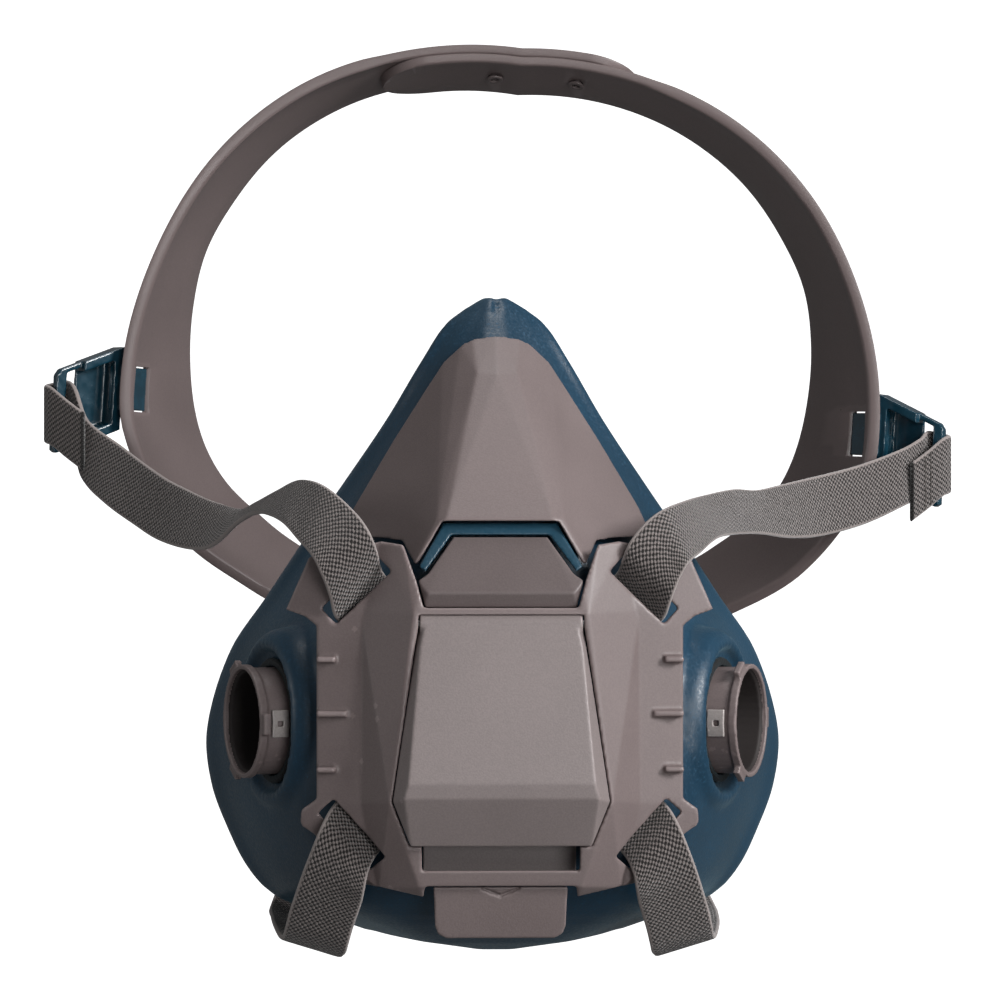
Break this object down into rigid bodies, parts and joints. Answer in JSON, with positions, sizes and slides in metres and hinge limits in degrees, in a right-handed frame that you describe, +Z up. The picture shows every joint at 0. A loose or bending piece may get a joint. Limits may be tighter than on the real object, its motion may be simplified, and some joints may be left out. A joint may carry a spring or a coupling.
{
  "type": "half-mask respirator",
  "caption": "Reusable half-mask respirator: soft face seal, hard front with hinged latch plate, side filter ports, webbing straps, head cradle and neck clasp.",
  "frame": {"origin": "the middle of the face-seal plane, at the height of the port axes, on the mask's middle plane", "axes": "+Z up, -Y straight ahead of the wearer, +X to the wearer's left"},
  "size_m": [0.2467, 0.199, 0.2368],
  "materials": {
    "silicone": "satin teal silicone with a fine speckled sheen",
    "hard_taupe": "finely grained matte taupe plastic",
    "panel_taupe": "finely grained matte light taupe plastic",
    "cradle_taupe": "smooth satin taupe plastic",
    "teal_clips": "glossy dark teal plastic",
    "catch": "pale grey plastic",
    "flap": "dark smooth silicone",
    "dark_plastic": "dark brown plastic",
    "webbing": "woven elastic webbing, light and dark grey",
    "pin_steel": "ground steel pin"
  },
  "bodies": {
    "facepiece": {"face_seal": "silicone", "inner_frame": "panel_taupe", "nose_shell": "hard_taupe", "bridge_gasket": "silicone", "bridge_cover": "hard_taupe", "yoke": "hard_taupe", "latch_pin": "pin_steel", "left_port": "hard_taupe", "left_port_gasket": "flap", "left_port_catch": "catch", "left_inhale_seat": "panel_taupe", "left_inhale_plug": "flap", "right_port": "hard_taupe", "right_port_gasket": "flap", "right_port_catch": "catch", "right_inhale_seat": "panel_taupe", "right_inhale_plug": "flap", "exhale_seat": "panel_taupe", "exhale_plug": "flap", "left_upper_strap": "webbing", "right_upper_strap": "webbing", "left_lower_strap": "webbing", "right_lower_strap": "webbing", "neck_clasp_eye": "teal_clips"},
    "latch": {"latch_plate": "panel_taupe"},
    "tab": {"release_tab": "hard_taupe"},
    "left_inhale": {"left_inhale_flap": "flap"},
    "right_inhale": {"right_inhale_flap": "flap"},
    "exhale": {"exhale_flap": "flap"},
    "harness": {"head_cradle": "cradle_taupe", "crown_button_1": "dark_plastic", "crown_button_2": "dark_plastic", "left_buckle": "teal_clips", "right_buckle": "teal_clips"},
    "clasp_hook": {"neck_clasp_hook": "teal_clips"}
  },
  "joints": [
    {"name": "latch_hinge", "type": "hinge", "parent": "facepiece", "child": "latch", "pos_m": [0, -0.0695, 0.025], "axis": [-1, 0, 0], "range_deg": [0, 40]},
    {"name": "tab_press", "type": "hinge", "parent": "facepiece", "child": "tab", "pos_m": [0, -0.0653, -0.0376], "axis": [1, 0, 0], "range_deg": [0, 8], "stiffness_Nm_per_rad": 0.03},
    {"name": "left_inhale_lift", "type": "slide", "parent": "facepiece", "child": "left_inhale", "axis": [0.9272, 0.3746, 0], "range_m": [0, 0.0016], "stiffness_N_per_m": 20},
    {"name": "right_inhale_lift", "type": "slide", "parent": "facepiece", "child": "right_inhale", "axis": [-0.9272, 0.3746, 0], "range_m": [0, 0.0016], "stiffness_N_per_m": 20},
    {"name": "exhale_lift", "type": "slide", "parent": "facepiece", "child": "exhale", "axis": [0, -1, 0], "range_m": [0, 0.0016], "stiffness_N_per_m": 20},
    {"name": "harness_swing", "type": "hinge", "parent": "facepiece", "child": "harness", "pos_m": [0, -0.055, 0.035], "axis": [1, 0, 0], "range_deg": [-8, 12], "deforming": ["left_upper_strap", "right_upper_strap"]},
    {"name": "neck_clasp_turn", "type": "hinge", "parent": "facepiece", "child": "clasp_hook", "pos_m": [0, 0.078, -0.0335], "axis": [0, 0, 1], "range_deg": [-20, 20], "deforming": ["right_lower_strap"]}
  ]
}
